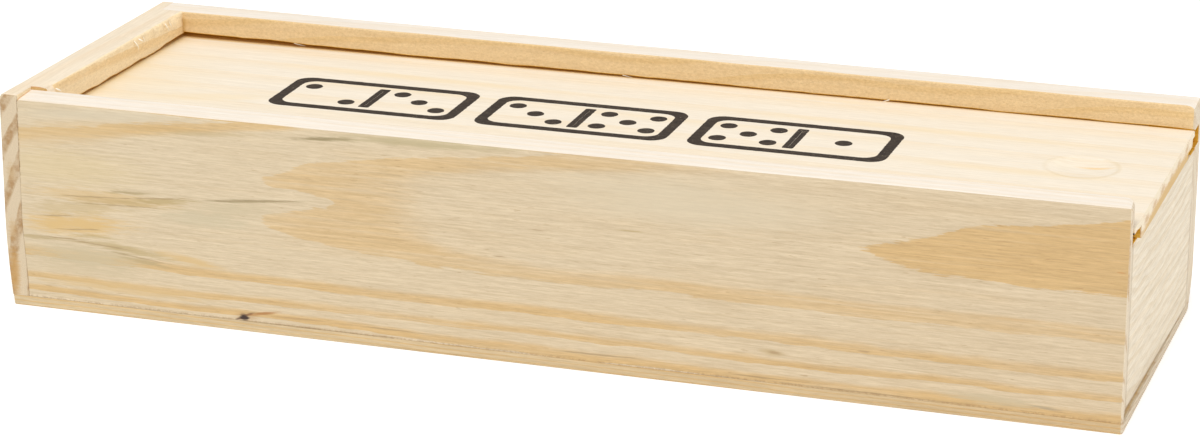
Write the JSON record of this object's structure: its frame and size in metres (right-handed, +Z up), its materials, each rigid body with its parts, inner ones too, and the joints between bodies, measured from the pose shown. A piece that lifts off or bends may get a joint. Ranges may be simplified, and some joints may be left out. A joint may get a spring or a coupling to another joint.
{
  "type": "domino storage box",
  "caption": "Long low pine box with a grooved rim and a rebated lid that slides out over a low end board.",
  "frame": {"origin": "middle of the underside of the bottom panel", "axes": "+X along the box towards the end where the lid slides out, -Y the front board, +Z up"},
  "size_m": [0.15, 0.05, 0.0292],
  "materials": {
    "side_pine": "sanded, unvarnished pine, straight and flame grain",
    "end_pine": "sanded, unvarnished pine, fine upright grain",
    "panel_pine": "thin sanded sheet, unvarnished",
    "lid_pine": "pale sanded pine with a black printed emblem"
  },
  "bodies": {
    "box": {"front_board": "side_pine", "back_board": "side_pine", "closed_end_board": "end_pine", "open_end_board": "end_pine", "bottom_panel": "panel_pine"},
    "lid": {"sliding_lid": "lid_pine"}
  },
  "joints": [
    {"name": "lid_slide", "type": "slide", "parent": "box", "child": "lid", "axis": [1, 0, 0], "range_m": [0, 0.15]}
  ]
}
